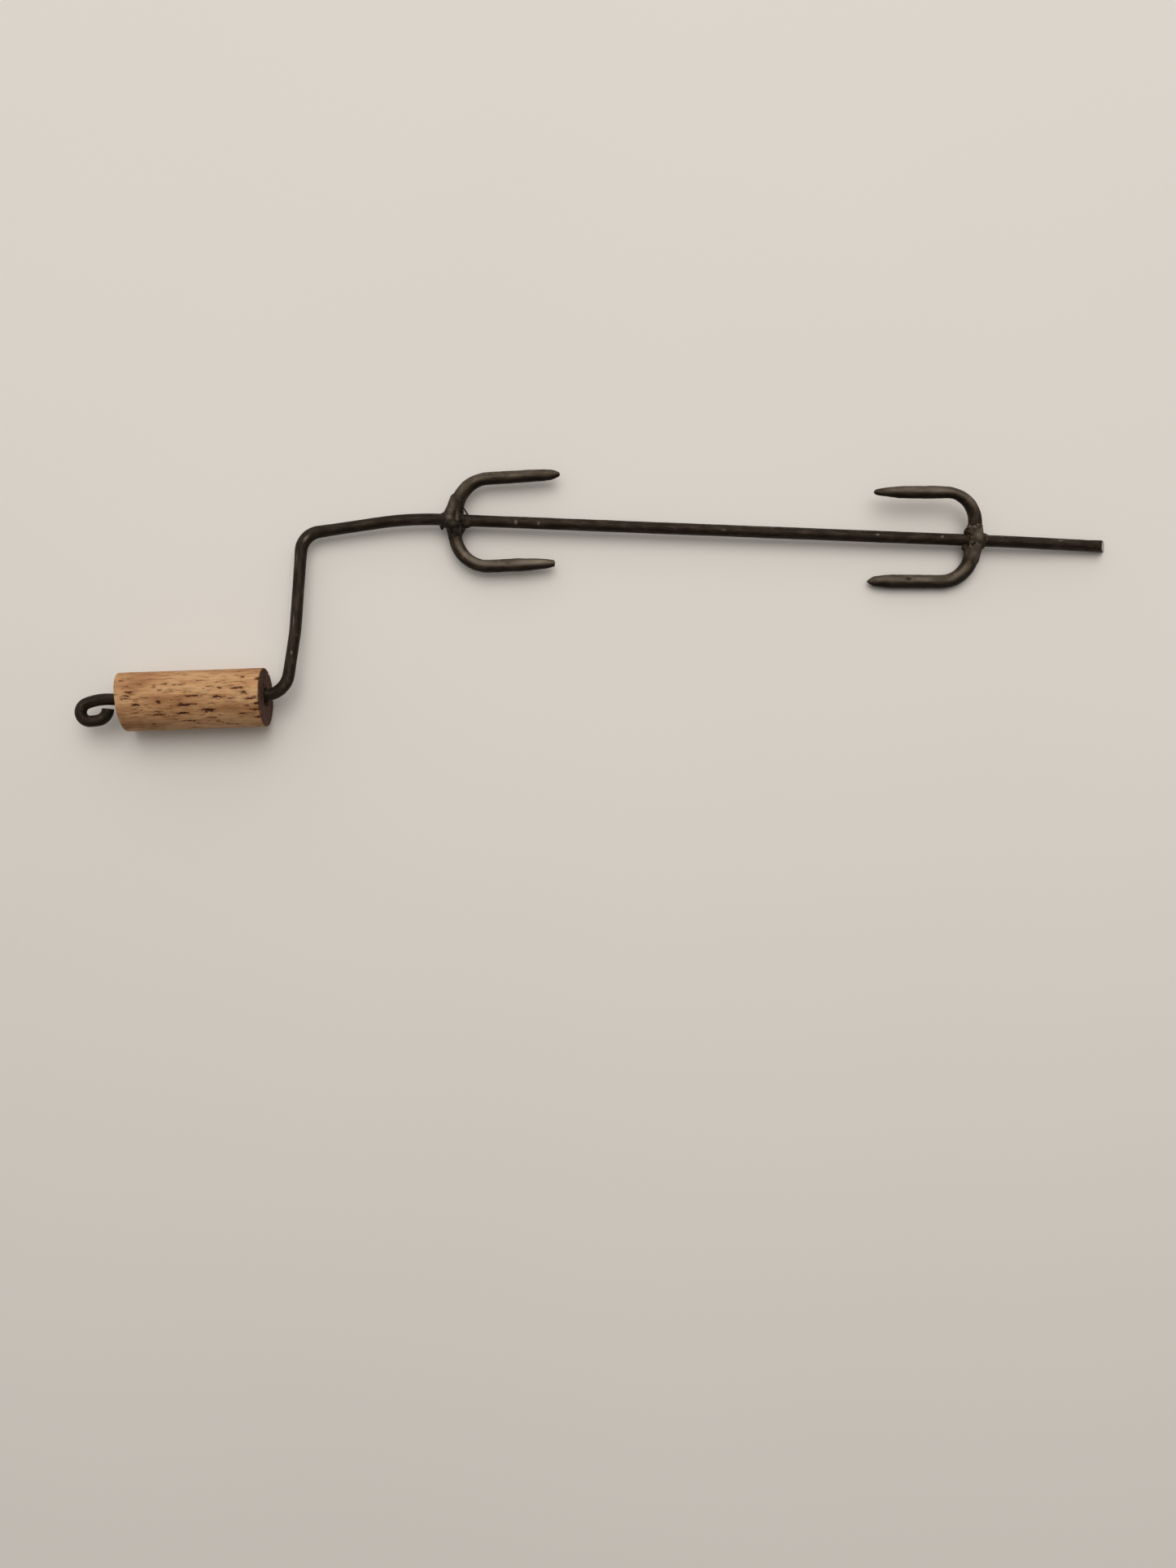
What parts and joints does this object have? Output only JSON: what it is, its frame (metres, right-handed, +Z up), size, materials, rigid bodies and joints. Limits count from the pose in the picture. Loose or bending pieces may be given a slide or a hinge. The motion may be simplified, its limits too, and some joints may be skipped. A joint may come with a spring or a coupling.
{
  "type": "miniature hand-cranked rotisserie spit",
  "caption": "Small bent-rod rotisserie spit with a crank, a loose wooden grip that turns on the hand rod, and facing two-tine forks welded across the rod.",
  "frame": {"origin": "middle of the underside of the whole object's box, as it lies on a table", "axes": "+X along the spit to its cut tip, +Y from the grip's side to the spit's side, +Z up from the table"},
  "size_m": [0.1396, 0.0378, 0.0079],
  "materials": {
    "dark_steel": "blackened, satin, lightly scratched",
    "weld_metal": "as-welded, lumpy, dark",
    "wood": "bare open-grained hardwood, unfinished"
  },
  "bodies": {
    "spit": {"spit_rod": "dark_steel", "near_fork_upper_tine": "dark_steel", "near_fork_upper_weld": "weld_metal", "near_fork_lower_tine": "dark_steel", "near_fork_lower_weld": "weld_metal", "far_fork_upper_tine": "dark_steel", "far_fork_upper_weld": "weld_metal", "far_fork_lower_tine": "dark_steel", "far_fork_lower_weld": "weld_metal"},
    "grip": {"wooden_grip": "wood"}
  },
  "joints": [
    {"name": "grip_spin", "type": "hinge", "parent": "spit", "child": "grip", "pos_m": [-0.04405, -0.01361, 0.00397], "axis": [-0.9974, -0.0715, 0], "continuous": true}
  ]
}
